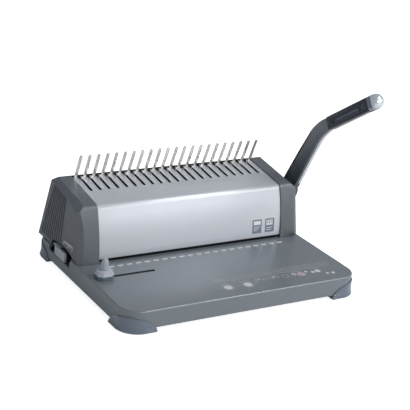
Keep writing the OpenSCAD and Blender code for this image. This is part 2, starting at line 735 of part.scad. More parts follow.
module at_grip() {
  translate([0, grip_root[0], grip_root[1]]) rotate([180 - grip_angle, 0, 0]) children();
}
module lever_grip() on_tray() color("#22262b") at_axle() at_grip() difference() {
  intersection() {
    block([grip_x, grip_x + grip_t], [0, grip_len], [-grip_h / 2, grip_h / 2]);
    translate([grip_x + grip_t / 2, 0, 0]) rotate([-90, 0, 0]) cylinder(h = grip_len, r = grip_round);
  }
  block([arm_x + 2, arm_x + arm_t - 2], [-1, grip_tang + slack], [-6, 6]);
  // long recess in the side
  block([grip_x - 1, grip_x + 0.8], grip_recess, [-2, 4]);
}
grip_round = 11.6;
grip_recess = [14, grip_len - 13];
module grip_cap() on_tray() color("#dfe3e6") at_axle() at_grip() intersection() {
  block([grip_x, grip_x + grip_t], [grip_len, grip_len + 30], [-grip_h / 2, grip_h / 2]);
  union() {
    translate([grip_x + grip_t / 2, grip_len, 0]) rotate([-90, 0, 0]) cylinder(h = 9, r = grip_round);
    translate([grip_x + grip_t / 2, grip_len + 9, 0]) sphere(r = grip_round);
  }
}
module hub_cover() on_tray() color("#22262b") at_axle() {
  difference() {
    rod_x(arm_x + arm_t, (grip_t - arm_t) / 2, 14);
    rod_x(arm_x + arm_t - 1, 2.4, shaft_r + 1);
  }
}

// ---- moving comb ----
hook_travel = gear_r * open_angle * PI / 180;
hook_y = cover_back - 1.5;
hook_drop = cover_t + 0.8;
hook_t = 1.6;
hook_plate_d = 26;
hook_w = 3.2;
ear_x = frame_x + frame_t + 6;
module hook_plate() on_tray() color("#33373b") on_top(hook_y)
  block([-ear_x, ear_x], [-hook_plate_d, 0], [-hook_drop - hook_t, -hook_drop]);
module opener_hooks() on_tray() color("#d5d8dc") on_top(hook_y)
  for (i = [0:ring_count - 1]) translate([(i - (ring_count - 1) / 2) * comb_pitch - hook_w / 2, 0, 0])
    along_x(0, hook_w) polygon([
      [-5, -hook_drop], [-5, hook_h], [-0.5, hook_h], [-0.5, hook_h - 1.6],
      [-2.6, hook_h - 1.8], [-2.6, -hook_drop]]);
web_t = 2;
rack_low = 1.25 * gear_module + 6;
module hook_rack() on_tray() color("#8f959c") {
  m = gear_module;
  web_x = frame_x + frame_t + 0.6;
  at_axle() rotate([slope, 0, 0]) translate([0, 0, -gear_r]) {
    block([web_x, gear_x + gear_w], [-2.5 * rack_pitch, (open_teeth + 2) * rack_pitch],
      [-rack_low, -1.25 * m]);
    for (i = [-2:open_teeth + 1]) translate([0, (i + 0.5) * rack_pitch, 0])
      along_x(gear_x, gear_w) polygon([
        [-m * PI / 4 - 0.46 * m, -1.3 * m], [-m * PI / 4 + 0.32 * m, 0.88 * m],
        [m * PI / 4 - 0.32 * m, 0.88 * m], [m * PI / 4 + 0.46 * m, -1.3 * m]]);
  }
  // web up to the moving comb's ear
  along_x(web_x, web_t) polygon([
    [hook_y - 11, axle_h - gear_r - 3], [hook_y - 1, axle_h - gear_r - 1],
    top_point(hook_y - 1, hook_drop + hook_t), top_point(hook_y - 11, hook_drop + hook_t)]);
}

// ---- sheet stops ----
// The depth lever slides fore and aft. Its sloping slot shifts a bar sideways, and two
// gentler slots in that bar set the backstop.
depth_travel = 6;
depth_ratio = 0.25;
shift_y = 86;
shift_h = 2.7;
shift_t = 1.5;
shift_half = 6;
lever_half = 9.5;
pin_r = 2;
depth_pin_x = -frame_x - 9;
stop_pins = [-90, 90];
stop_x = 140;
stop_y = punch_y + 6;
// a slot with round ends, centred, along +X
module slot(len, r, h) {
  block([-len / 2, len / 2], [-r, r], [0, h]);
  for (s = [-1, 1]) translate([s * len / 2, 0, 0]) cylinder(h = h, r = r);
}
module backstop_bar() on_tray() color("#9aa0a6") {
  block([-stop_x, stop_x], [stop_y, shift_y + shift_half], [slack, shift_h - slack]);
  for (x = stop_pins) translate([x, shift_y, shift_h - 2 * slack]) cylinder(h = shift_t + 1.2, r = pin_r);
}
module shift_bar() on_tray() color("#7d838a") {
  difference() {
    block([depth_pin_x - 5, stop_pins[1] + 20], [shift_y - shift_half, shift_y + shift_half],
      [shift_h, shift_h + shift_t]);
    for (x = stop_pins) translate([x, shift_y, shift_h - 1])
      rotate(atan(depth_ratio)) slot(2 * depth_travel + 1, pin_r + 0.1, shift_t + 2);
  }
  translate([depth_pin_x, shift_y, slack]) cylinder(h = shift_h, r = pin_r);
}
knob_x = [-base_w / 2, 3.5 - base_w / 2];
knob_y = [52, 86];
knob_low = 11;
lever_tail = 12;
module depth_lever() on_tray() color("#aab2bb") difference() {
  union() {
    block(knob_x, knob_y, [-knob_low, shift_h - 2 * slack]);
    block([knob_x[1] - 1, depth_pin_x + lever_tail], [shift_y - lever_half, shift_y + lever_half],
      [slack, shift_h - 2 * slack]);
  }
  translate([depth_pin_x, shift_y, -1]) rotate(45) slot(2 * depth_travel * sqrt(2) + 1, pin_r + 0.1, 5);
}
guide_block = [12, 11];
guide_low = 8;
guide_high = 12;
guide_chop = 5;
module guide_outline(inset) {
  w = guide_block[0] - inset;
  d = guide_block[1] - inset;
  polygon([[guide_chop - w, -d], [w - guide_chop, -d], [w, guide_chop - d], [w, d - guide_chop],
    [w - guide_chop, d], [guide_chop - w, d], [-w, d - guide_chop], [-w, guide_chop - d]]);
}
module edge_guide() on_tray() color("#a9b0b8") translate([guide_x, -guide_y, 0]) difference() {
  union() {
    translate([0, 0, slack]) linear_extrude(guide_low - slack) guide_outline(0);
    translate([0, 0, slack]) linear_extrude(guide_high - slack) guide_outline(1.2);
    cylinder(h = guide_high + 1, r = post_r + 1);
  }
  translate([0, 0, -1]) cylinder(h = 20, r = 2.2);
  translate([0, 0, -1]) cylinder(h = 1 + slack, r = 20);
}
module guide_nut() on_tray() color("#b9bdc2") translate([guide_x, -guide_y, -base_wall]) difference() {
  block([-8, 8], [-5, 5], [-4, -slack]);
  translate([0, 0, -5]) cylinder(h = 10, r = 1.9);
}
post_r = 5.2;
post_top = 4;
post_h = 14;
module guide_screw() on_tray() color("#b4bac1") translate([guide_x, -guide_y, 0]) {
  translate([0, 0, guide_high + 1 + slack]) {
    cylinder(h = post_h, r1 = post_r, r2 = post_top);
    intersection() {
      cylinder(h = post_h - 2, r1 = post_r + 0.6, r2 = post_top + 0.7);
      for (i = [0:5]) rotate(i * 30) block([-0.6, 0.6], [-9, 9], [0, post_h]);
    }
    cylinder(h = post_h + 1.2, r = post_top - 1.2);
  }
  translate([0, 0, -base_wall - 4]) cylinder(h = base_wall + 18, r = 1.85);
}
module chip_drawer() place() color("#2f3439") {
  z0 = plate_z + slack;
  difference() {
    block([-drawer_x + 0.5, drawer_x - 0.5], [drawer_front_y, base_back], [z0, z0 + drawer_h - slack]);
    block([-drawer_x + 0.5 + drawer_wall, drawer_x - 0.5 - drawer_wall],
      [drawer_front_y + drawer_wall, base_back - drawer_wall], [z0 + drawer_wall, z0 + big]);
  }
  // finger pull
  block([-24, 24], [base_back - eps, base_back + 2.5], [z0 + 3, z0 + 6]);
}

base_tray();
bottom_plate();
foot_front_left();
foot_front_right();
foot_rear_left();
foot_rear_right();
foot_pads();
base_screws();
front_cover();
cap_left();
cap_right();
rear_cover();
comb_rest();
tine_bar();
side_frame_left();
side_frame_right();
lower_die();
upper_die();
tie_rod();
bush_left();
bush_right();
cover_screws();
drive_shaft();
press_arm_left();
press_arm_right();
arm_rollers();
dog_collar();
pressure_bar();
punches();
return_springs();
lever_sleeve();
sector_gear();
lever_arm();
lever_grip();
grip_cap();
hub_cover();
hook_plate();
opener_hooks();
hook_rack();
depth_lever();
shift_bar();
backstop_bar();
edge_guide();
guide_nut();
guide_screw();
chip_drawer();
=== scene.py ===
import json
import math
import bpy
from mathutils import Matrix, Vector

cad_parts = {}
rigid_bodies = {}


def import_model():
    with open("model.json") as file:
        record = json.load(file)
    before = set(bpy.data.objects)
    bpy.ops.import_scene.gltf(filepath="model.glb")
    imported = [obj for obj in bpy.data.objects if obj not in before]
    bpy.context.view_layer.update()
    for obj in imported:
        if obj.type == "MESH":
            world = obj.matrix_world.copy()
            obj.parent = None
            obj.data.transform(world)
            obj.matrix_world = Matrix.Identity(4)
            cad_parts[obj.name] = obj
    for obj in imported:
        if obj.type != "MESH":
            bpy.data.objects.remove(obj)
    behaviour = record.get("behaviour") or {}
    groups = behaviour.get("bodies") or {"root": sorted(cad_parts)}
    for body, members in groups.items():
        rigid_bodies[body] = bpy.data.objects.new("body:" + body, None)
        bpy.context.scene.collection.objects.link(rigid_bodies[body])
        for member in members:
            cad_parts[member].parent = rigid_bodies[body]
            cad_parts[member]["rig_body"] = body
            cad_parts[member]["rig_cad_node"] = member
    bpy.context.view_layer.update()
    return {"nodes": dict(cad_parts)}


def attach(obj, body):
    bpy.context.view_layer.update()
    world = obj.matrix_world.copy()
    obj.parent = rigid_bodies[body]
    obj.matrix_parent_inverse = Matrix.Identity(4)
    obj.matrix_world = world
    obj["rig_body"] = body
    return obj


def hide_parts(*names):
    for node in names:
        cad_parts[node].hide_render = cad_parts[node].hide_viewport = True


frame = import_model()
nodes = frame["nodes"]
print("frame loaded,", len(nodes), "nodes")

# Sizes below are in millimetres: x from the middle of the comb, y from the printed hole
# marks towards the back, h above the tray's top.
trayShift = Vector((-6.25, -4.5, 33.0))
ringCount, ringPitch = 21, 14.2875  # of the plastic combs
sheetLift, sheetThick, sheetSmooth = 0.05, 0.05, 35


def spot(x, y, h):
    return (Vector((x, y, h)) + trayShift) / 1000


def between(low, high, share):
    return low + (high - low) * share


def ringPlaces():
    return [(i - (ringCount - 1) / 2) * ringPitch for i in range(ringCount)]


def pickOnly(*things):
    if bpy.context.object and bpy.context.object.mode != "OBJECT":
        bpy.ops.object.mode_set(mode="OBJECT")
    bpy.ops.object.select_all(action="DESELECT")
    for thing in things:
        thing.select_set(True)
    bpy.context.view_layer.objects.active = things[0]


def finishModifier(piece, kind, **settings):
    pickOnly(piece)
    modifier = piece.modifiers.new(kind.title(), kind)
    for key, value in settings.items():
        setattr(modifier, key, value)
    bpy.ops.object.modifier_apply(modifier=modifier.name)


def settle(piece, name, body, finish, smooth):
    pickOnly(piece)
    bpy.ops.object.transform_apply(location=True, rotation=True, scale=True)
    piece.name = name
    piece.data.name = name
    piece.data.materials.clear()
    piece.data.materials.append(finish)
    bpy.ops.object.shade_smooth_by_angle(angle=math.radians(smooth))
    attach(piece, body)


# Angles in degrees, lens and sensor in millimetres, near and far in metres.
cameraPlan = {
    "place": (-850.99, -1302.74, 671.53), "yaw": 33.22, "down": 20.93, "roll": 6.26,
    "lens": 101.8, "sensor": 36, "near": 0.05, "far": 50,
}


def makeCamera(plan):
    yaw, down, roll = (math.radians(plan[k]) for k in ("yaw", "down", "roll"))
    ahead = Vector((math.sin(yaw) * math.cos(down), math.cos(yaw) * math.cos(down),
                    -math.sin(down)))
    side = Vector((math.cos(yaw), -math.sin(yaw), 0))
    up = side.cross(ahead)
    sideRolled = side * math.cos(roll) + up * math.sin(roll)
    upRolled = up * math.cos(roll) - side * math.sin(roll)
    bpy.ops.object.camera_add()
    camera = bpy.context.object
    turned = Matrix((sideRolled, upRolled, -ahead)).transposed()
    camera.matrix_world = Matrix.Translation(spot(*plan["place"])) @ turned.to_4x4()
    camera.data.lens = plan["lens"]
    camera.data.sensor_width = plan["sensor"]
    camera.data.clip_start, camera.data.clip_end = plan["near"], plan["far"]
    bpy.context.scene.camera = camera


makeCamera(cameraPlan)
print("camera placed")

coatRoughness = 0.16
noiseSpan = (0.3, 0.7)  # where most of a noise texture's values lie


def startFinish(name, colour, roughness, metallic=0.0, coat=0.0):
    finish = bpy.data.materials.new(name)
    finish.use_nodes = True
    tree = finish.node_tree
    shader = tree.nodes["Principled BSDF"]
    shader.inputs["Base Color"].default_value = (*colour, 1)
    shader.inputs["Roughness"].default_value = roughness
    shader.inputs["Metallic"].default_value = metallic
    shader.inputs["Coat Weight"].default_value = coat
    shader.inputs["Coat Roughness"].default_value = coatRoughness
    return finish, tree, shader


def noiseAt(tree, scale, detail, stretch=(1, 1, 1), rough=0.5):
    place = tree.nodes.new("ShaderNodeTexCoord")
    mapping = tree.nodes.new("ShaderNodeMapping")
    mapping.inputs["Scale"].default_value = stretch
    noise = tree.nodes.new("ShaderNodeTexNoise")
    noise.inputs["Scale"].default_value = scale
    noise.inputs["Detail"].default_value = detail
    noise.inputs["Roughness"].default_value = rough
    tree.links.new(place.outputs["Object"], mapping.inputs["Vector"])
    tree.links.new(mapping.outputs["Vector"], noise.inputs["Vector"])
    return noise.outputs["Fac"]


def spread(tree, source, low, high):
    ramp = tree.nodes.new("ShaderNodeMapRange")
    ramp.inputs["From Min"].default_value, ramp.inputs["From Max"].default_value = noiseSpan
    ramp.inputs["To Min"].default_value = low
    ramp.inputs["To Max"].default_value = high
    tree.links.new(source, ramp.inputs["Value"])
    return ramp.outputs["Result"]


def mixColours(tree, shader, share, colourLow, colourHigh):
    mix = tree.nodes.new("ShaderNodeMix")
    mix.data_type = "RGBA"
    mix.inputs[6].default_value = (*colourLow, 1)  # 6 and 7 are the two colours
    mix.inputs[7].default_value = (*colourHigh, 1)
    tree.links.new(share, mix.inputs[0])
    tree.links.new(mix.outputs[2], shader.inputs["Base Color"])


def tintBy(tree, shader, source, colour, span):
    low, high = (tuple(min(1.0, c * factor) for c in colour) for factor in span)
    mixColours(tree, shader, spread(tree, source, 0, 1), low, high)


def roughenBy(tree, shader, source, roughness, span):
    result = spread(tree, source, roughness + span[0], roughness + span[1])
    tree.links.new(result, shader.inputs["Roughness"])


def bumpBy(tree, shader, source, strength, height):
    bump = tree.nodes.new("ShaderNodeBump")
    bump.inputs["Strength"].default_value = strength
    bump.inputs["Distance"].default_value = height
    tree.links.new(source, bump.inputs["Height"])
    tree.links.new(bump.outputs["Normal"], shader.inputs["Normal"])


# Each noise is given by its scale and detail, each height in metres.
paintLook = {"flakes": (2600, 2.0), "clouds": (22, 3.0), "rough": (-0.03, 0.04),
             "peel": (700, 2.0), "strength": 0.08, "height": 0.0001}


def flakePaint(name, colour, roughness, metallic, flake=0.06, coat=0.0):
    finish, tree, shader = startFinish(name, colour, roughness, metallic, coat)
    look = paintLook
    tintBy(tree, shader, noiseAt(tree, *look["flakes"]), colour, (1 - flake, 1 + flake))
    roughenBy(tree, shader, noiseAt(tree, *look["clouds"]), roughness, look["rough"])
    bumpBy(tree, shader, noiseAt(tree, *look["peel"]), look["strength"], look["height"])
    return finish


plasticLook = {"clouds": (35, 4.0), "mottle": (0.94, 1.06), "rub": (90, 3.0),
               "rough": (-0.05, 0.06), "grain": (1500, 4.0), "grainRough": 0.65,
               "height": 0.0001}


def mouldedPlastic(name, colour, roughness, grain=0.25, coat=0.0):
    finish, tree, shader = startFinish(name, colour, roughness, coat=coat)
    look = plasticLook
    tintBy(tree, shader, noiseAt(tree, *look["clouds"]), colour, look["mottle"])
    roughenBy(tree, shader, noiseAt(tree, *look["rub"]), roughness, look["rough"])
    bumpBy(tree, shader, noiseAt(tree, *look["grain"], rough=look["grainRough"]), grain,
           look["height"])
    return finish


steelLook = {"detail": 2.0, "tint": (0.93, 1.05), "rough": (-0.06, 0.07), "height": 0.00005}


def machinedSteel(name, colour, roughness, stretch, grain=0.15, scale=900):
    finish, tree, shader = startFinish(name, colour, roughness, 1.0)
    look = steelLook
    streaks = noiseAt(tree, scale, look["detail"], stretch)
    tintBy(tree, shader, streaks, colour, look["tint"])
    roughenBy(tree, shader, streaks, roughness, look["rough"])
    bumpBy(tree, shader, streaks, grain, look["height"])
    return finish


# The lever's paint is painted darker low down, as painted shade; span is a pair of the piece's
# own heights in metres.
leverShadeLook = {"name": "greyLeverPaint", "low": (0.07, 0.085, 0.1), "high": (0.2, 0.215, 0.245),
             "span": (0.14, 0.23), "roughness": 0.34, "metallic": 0.2, "coat": 0.3,
             "strength": 0.06}


def shadedLowPaint(look):
    finish, tree, shader = startFinish(look["name"], look["high"], look["roughness"],
                                       look["metallic"], look["coat"])
    place = tree.nodes.new("ShaderNodeTexCoord")
    parts = tree.nodes.new("ShaderNodeSeparateXYZ")
    ramp = tree.nodes.new("ShaderNodeMapRange")
    ramp.inputs["From Min"].default_value, ramp.inputs["From Max"].default_value = look["span"]
    tree.links.new(place.outputs["Object"], parts.inputs[0])
    tree.links.new(parts.outputs["Z"], ramp.inputs["Value"])
    mixColours(tree, shader, ramp.outputs["Result"], look["low"], look["high"])
    bumpBy(tree, shader, noiseAt(tree, *paintLook["peel"]), look["strength"],
           paintLook["height"])
    return finish


speckLook = {"specks": (1800, 3.0), "tint": (0.9, 1.04)}


def speckledColour(name, colour, roughness=0.6):
    finish, tree, shader = startFinish(name, colour, roughness)
    tintBy(tree, shader, noiseAt(tree, *speckLook["specks"]), colour, speckLook["tint"])
    return finish


coverPaint = flakePaint("silverCoverPaint", (0.55, 0.57, 0.61), 0.42, 0.4)
trayPaint = flakePaint("greyTrayPaint", (0.165, 0.186, 0.206), 0.32, 0.2, flake=0.12, coat=0.35)
# The lever's grey paint carries a painted shade gradient, darker low down.
leverPaint = shadedLowPaint(leverShadeLook)
capPlastic = mouldedPlastic("darkCapPlastic", (0.1, 0.111, 0.128), 0.36, grain=0.15)
footPlastic = mouldedPlastic("glossyFootPlastic", (0.1, 0.128, 0.17), 0.2, grain=0.03, coat=1.0)
palePlastic = mouldedPlastic("palePlastic", (0.38, 0.41, 0.455), 0.4)
# Black plastic of real parts, also used as painted shade on the throat, slot walls, guide slot,
# arm groove and grip panel ends.
blackPlastic = mouldedPlastic("blackPlastic", (0.011, 0.012, 0.014), 0.5)
gripRubber = mouldedPlastic("gripPlastic", (0.02, 0.026, 0.036), 0.34, grain=0.2)
gripInlay = mouldedPlastic("gripInlay", (0.042, 0.058, 0.085), 0.26, grain=0.1)
gripCollar = flakePaint("gripCollar", (0.17, 0.185, 0.25), 0.3, 0.3)
gripEnd = flakePaint("silverGripEnd", (0.66, 0.72, 0.77), 0.22, 0.75)
inlayLine = mouldedPlastic("inlayLine", (0.14, 0.17, 0.21), 0.4)
# A painted highlight for the lever's lit front edge and the grip's underside.
edgeHighlightPaint = flakePaint("paleEdgePaint", (0.62, 0.61, 0.68), 0.36, 0.1)
tineChrome = machinedSteel("tineChrome", (0.76, 0.745, 0.71), 0.28, (1, 1, 0.3), 0.0, 60)
zincPlate = machinedSteel("zincPlate", (0.52, 0.53, 0.55), 0.38, (0.15, 1, 1))
groundSteel = machinedSteel("groundSteel", (0.6, 0.61, 0.63), 0.3, (1, 0.15, 1))
blackSteel = flakePaint("blackSteel", (0.012, 0.013, 0.015), 0.6, 0.0)
bushBronze = machinedSteel("bushBronze", (0.5, 0.35, 0.17), 0.42, (1, 1, 1))
padRubber = mouldedPlastic("padRubber", (0.016, 0.016, 0.017), 0.7, grain=0.5)
whiteInk = speckledColour("whiteInk", (0.7, 0.71, 0.73))
scaleInk = speckledColour("scaleInk", (0.9, 0.91, 0.93))
guideShade = mouldedPlastic("guideShade", (0.085, 0.12, 0.135), 0.4)
paleInk = speckledColour("paleInk", (0.56, 0.57, 0.59))
# Faint print on the chart, and also the painted shadow in front of the hole marks.
faintInk = speckledColour("faintInk", (0.43, 0.44, 0.465))
roseInk = speckledColour("roseInk", (0.44, 0.37, 0.4))
# Print for the signs, and painted shade for the lines beside the slots.
panelInk = speckledColour("panelInk", (0.15, 0.185, 0.235), 0.45)
print("finishes made")

# Parts that keep their construction shape and only get a finish.
plainNodes = (
    (zincPlate, ("side_frame_left", "side_frame_right", "press_arm_left", "press_arm_right",
                 "dog_collar", "pressure_bar", "lever_sleeve", "sector_gear", "hook_rack",
                 "shift_bar", "backstop_bar")),
    (groundSteel, ("lower_die", "upper_die", "tie_rod", "cover_screws", "drive_shaft",
                   "arm_rollers", "punches", "return_springs", "guide_nut", "base_screws")),
    (bushBronze, ("bush_left", "bush_right")),
    (trayPaint, ("bottom_plate",)),
    (padRubber, ("foot_pads",)),
)
for finish, nodeNames in plainNodes:
    for nodeName in nodeNames:
        nodes[nodeName].data.materials.clear()
        nodes[nodeName].data.materials.append(finish)
print("inner parts painted")

# Each outer part gets a copy with rounded edges that takes its place. A pierced part keeps
# triangles and quads, because one large face would close over its holes.
softPlan = {
    "merge": 0.00001, "flat": 0.4, "segments": 2, "corner": 28, "smooth": 32, "weight": 80,
    "pierced": ("base_tray", "cap_left", "cap_right"),
}


def softCopy(plan, nodeName, name, body, slotName, finish, width):
    pickOnly(nodes[nodeName])
    bpy.ops.object.duplicate()
    piece = bpy.context.object
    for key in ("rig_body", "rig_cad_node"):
        del piece[key]
    piece.parent = None
    pickOnly(piece)
    bpy.ops.object.mode_set(mode="EDIT")
    bpy.ops.mesh.select_all(action="SELECT")
    bpy.ops.mesh.remove_doubles(threshold=plan["merge"])
    if nodeName in plan["pierced"]:
        bpy.ops.mesh.tris_convert_to_quads()
    else:
        bpy.ops.mesh.dissolve_limited(angle_limit=math.radians(plan["flat"]))
    bpy.ops.object.mode_set(mode="OBJECT")
    finishModifier(piece, "BEVEL", width=width / 1000, segments=plan["segments"],
                   limit_method="ANGLE", angle_limit=math.radians(plan["corner"]),
                   use_clamp_overlap=True, miter_outer="MITER_ARC")
    settle(piece, name, body, finish, plan["smooth"])
    if nodeName in plan["pierced"]:  # evens the shading over long triangles
        finishModifier(piece, "WEIGHTED_NORMAL", keep_sharp=True, weight=plan["weight"])
    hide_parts(nodeName)


# Construction node, piece, body, slot, finish and the rounding in millimetres.
softened = [
    ("base_tray", "tray", "frame", "base_paint", trayPaint, 0.4),
    ("front_cover", "silverCover", "frame", "silver_paint", coverPaint, 0.25),
    ("cap_left", "leftCap", "frame", "cap_plastic", capPlastic, 0.4),
    ("cap_right", "rightCap", "frame", "cap_plastic", capPlastic, 0.4),
    ("rear_cover", "rearCover", "frame", "cap_plastic", capPlastic, 0.4),
    ("comb_rest", "combRest", "frame", "black_plastic", blackPlastic, 0.3),
    ("tine_bar", "tines", "frame", "chrome", tineChrome, 0.25),
    ("foot_front_left", "frontLeftFoot", "frame", "foot_plastic", footPlastic, 1.2),
    ("foot_front_right", "frontRightFoot", "frame", "foot_plastic", footPlastic, 1.2),
    ("foot_rear_left", "rearLeftFoot", "frame", "foot_plastic", footPlastic, 1.2),
    ("foot_rear_right", "rearRightFoot", "frame", "foot_plastic", footPlastic, 1.2),
    ("lever_arm", "leverArm", "lever", "lever_paint", leverPaint, 0.9),
    ("lever_grip", "leverGrip", "lever", "black_plastic", gripRubber, 1.6),
    ("grip_cap", "gripEndCap", "lever", "silver_plastic", gripEnd, 1.6),
    ("hub_cover", "hubCover", "lever", "black_plastic", gripRubber, 0.8),
    ("hook_plate", "hookPlate", "hooks", "black_steel", blackSteel, 0.15),
    ("opener_hooks", "openerHooks", "hooks", "chrome", tineChrome, 0.3),
    ("depth_lever", "depthLever", "depth_lever", "grey_plastic", palePlastic, 0.6),
    ("edge_guide", "edgeGuide", "guide", "grey_plastic", palePlastic, 0.3),
    ("guide_screw", "guideKnob", "guide_knob", "grey_plastic", palePlastic, 0.2),
    ("chip_drawer", "chipDrawer", "drawer", "black_plastic", blackPlastic, 0.5),
]
for entry in softened:
    softCopy(softPlan, *entry)
print("outer parts softened")


def sheetOn(place, columns=1, rows=1):
    # A grid laid on a surface: place turns its two shares, 0 to 1, into x, y and h.
    bpy.ops.object.select_all(action="DESELECT")
    bpy.ops.mesh.primitive_grid_add(x_subdivisions=columns, y_subdivisions=rows, size=2)
    sheet = bpy.context.object
    for corner in sheet.data.vertices:
        corner.co = spot(*place((corner.co.x + 1) / 2, (corner.co.y + 1) / 2))
    return sheet


def trayBar(x, y, w, d, lift=sheetLift):
    return sheetOn(lambda u, v: (x + (u - 0.5) * w, y + (v - 0.5) * d, lift))


def trayRing(x, y, outer, inner=0.0):
    bpy.ops.object.select_all(action="DESELECT")
    bpy.ops.mesh.primitive_circle_add(vertices=32, radius=outer / 1000, fill_type="NGON",
                                      location=spot(x, y, sheetLift))
    ring = bpy.context.object
    bpy.ops.object.mode_set(mode="EDIT")
    bpy.ops.mesh.select_all(action="SELECT")
    bpy.ops.mesh.inset(thickness=(outer - inner) / 1000)
    if inner:
        bpy.ops.mesh.delete(type="FACE")
    bpy.ops.object.mode_set(mode="OBJECT")
    return ring


# Lays thin sheets for print, and also for painted shade and painted highlight.
def laySheets(parts, name, sheetFinish, body="frame", thick=sheetThick):
    for part in parts:
        pickOnly(part)
        bpy.ops.object.transform_apply(location=True, rotation=True, scale=True)
    pickOnly(*parts)
    if len(parts) > 1:
        bpy.ops.object.join()
    printed = bpy.context.object
    finishModifier(printed, "SOLIDIFY", thickness=thick / 1000, offset=1)
    settle(printed, name, body, sheetFinish, sheetSmooth)


# White marks where the holes fall, each with a faint painted shadow in front of it.
holeMarks = {"bright": {"aside": 0, "y": -1.6, "length": 8.6, "width": 2.7},
             "faint": {"aside": -1.5, "y": -6.4, "length": 5.16, "width": 0.9}}


def makeHoleMarks(plan, name, sheetFinish):
    laySheets([trayBar(x + plan["aside"], plan["y"], plan["length"], plan["width"])
             for x in ringPlaces()], name, sheetFinish)


makeHoleMarks(holeMarks["bright"], "holeMarks", whiteInk)
makeHoleMarks(holeMarks["faint"], "holeMarkShadows", faintInk)

# A plain chart of comb sizes: a ruled table above rings and discs.
chartPlan = {
    "pictures": [(-19.5, -114, 8.8, 6.2), (12.3, -114.7, 8.8, 6.2)],
    "rings": [(28.5, -111.5, 2.4), (34.5, -104.5, 3.4), (44, -108, 3.0), (56, -107, 3.8),
              (66, -106, 4.6), (80, -108.5, 5.2)],
    "ringWidth": 0.8,
    "roseRings": [(96, -107, 4.2), (107, -110, 6.2)], "roseHole": 0.25,
    "discs": [(37, -105, 1.7), (62, -105.5, 2.2), (118, -105.5, 2.4), (128, -109.5, 3.0),
              (137, -108.5, 4.4), (147, -119.5, 2.4), (156, -121, 3.0)],
    "columns": {"first": -27.0, "step": 4.9, "count": 41, "y": -90.6, "length": 8.5,
                "width": 0.9, "shortest": 0.45, "heights": 5, "jump": 7},
    "rules": [(-20, -88.0, 18, 0.7), (-20, -92.5, 18, 0.7), (69, -84.5, 196, 0.5),
              (69, -96.8, 196, 0.5)],
    "notes": [(-19.5, -102.5, 14, 0.8), (12.3, -103, 14, 0.8), (106, -100.5, 14, 0.8),
              (137, -100, 14, 0.8), (-2.5, -113, 3, 0.8)],
}


def chartColumns(plan):
    bars = []
    for i in range(plan["count"]):
        share = ((i * plan["jump"]) % plan["heights"]) / (plan["heights"] - 1)
        tall = plan["length"] * between(plan["shortest"], 1, share)
        bars.append(trayBar(plan["first"] + i * plan["step"], plan["y"], plan["width"], tall))
    return bars


def makeChart(plan):
    rim = plan["ringWidth"]
    bright = [trayRing(x, y, disc) for x, y, _, disc in plan["pictures"]]
    bright += [trayRing(*disc) for disc in plan["discs"]]
    laySheets(bright, "chartPictures", paleInk)
    pale = [trayRing(x, y, r, r - rim) for x, y, r, _ in plan["pictures"]]
    pale += [trayRing(x, y, r, r - rim) for x, y, r in plan["rings"]]
    laySheets(pale + chartColumns(plan["columns"]), "chartRings", faintInk)
    rose = [trayRing(x, y, r, r * plan["roseHole"]) for x, y, r in plan["roseRings"]]
    laySheets(rose, "chartRoseRings", roseInk)
    lines = [trayBar(*line) for line in plan["rules"] + plan["notes"]]
    laySheets(lines, "chartLines", faintInk)


makeChart(chartPlan)
print("tray printed")

# The cover's front as seen from the side, in y and h, with its outward bulge.
coverFront = {"foot": (16.0, 4.5), "run": (14.214, 68.594), "out": (-0.9792, 0.2029),
              "bulge": 10.0, "rows": 8}


def onCover(x, t, lift):
    bend = coverFront["bulge"] * t * (1 - t) + lift
    return (x, *(coverFront["foot"][k] + coverFront["run"][k] * t + coverFront["out"][k] * bend
                 for k in (0, 1)))


def coverPatch(x0, x1, t0, t1, lift):
    return sheetOn(lambda u, v: onCover(between(x0, x1, u), between(t0, t1, v), lift),
                   1, coverFront["rows"])


# Two plain signs at the cover's lower right: a sheet with holes, and an open comb. Each
# mark is given by its two distances from the board's left side and two shares of its height.
signPlan = {
    "low": 0.092, "high": 0.397, "boardLift": 0.03, "markLift": 0.09,
    "sheet": {"board": (103.2, 120.0),
              "marks": [(2.2, 14.6, 0.62, 0.9), (2.2, 14.6, 0.44, 0.48), (2.2, 11.6, 0.32, 0.36),
                        (2.2, 8.6, 0.2, 0.24)]},
    "comb": {"board": (126.2, 143.0),
             "marks": [(2.4, 4.2, 0.6, 0.9), (5.5, 7.3, 0.6, 0.9), (8.6, 10.4, 0.6, 0.9),
                       (11.7, 13.5, 0.6, 0.9), (2.4, 13.6, 0.52, 0.6), (2.4, 13.6, 0.3, 0.34),
                       (2.4, 11, 0.16, 0.2)]},
}


def makeSigns(plan):
    low, high = plan["low"], plan["high"]
    signs = [plan["sheet"], plan["comb"]]
    boards = [coverPatch(*sign["board"], low, high, plan["boardLift"]) for sign in signs]
    laySheets(boards, "signBoards", panelInk)
    marks = [coverPatch(sign["board"][0] + left, sign["board"][0] + right,
                        between(low, high, foot), between(low, high, top), plan["markLift"])
             for sign in signs for left, right, foot, top in sign["marks"]]
    laySheets(marks, "signMarks", whiteInk)


makeSigns(signPlan)

# The left cap's side, inside its sunk panel.
capSide = {"foot": -186.5, "lean": 0.0531, "lift": 0.04}


def sidePatch(y0, h0, y1, h1, thick):
    # A stripe from one point of the panel to another, thick mm high.
    def place(u, v):
        y, h = between(y0, y1, u), between(h0, h1, u) + thick * (v - 0.5)
        return capSide["foot"] + capSide["lean"] * h - capSide["lift"], y, h
    return sheetOn(place)


marginScale = {"rear": (66.0, 16.5), "front": (38.4, 18.3), "line": 0.8, "ticks": 7,
               "tickFoot": 11.5, "tickHalf": 0.45, "longEvery": 3, "shorter": 2.2}


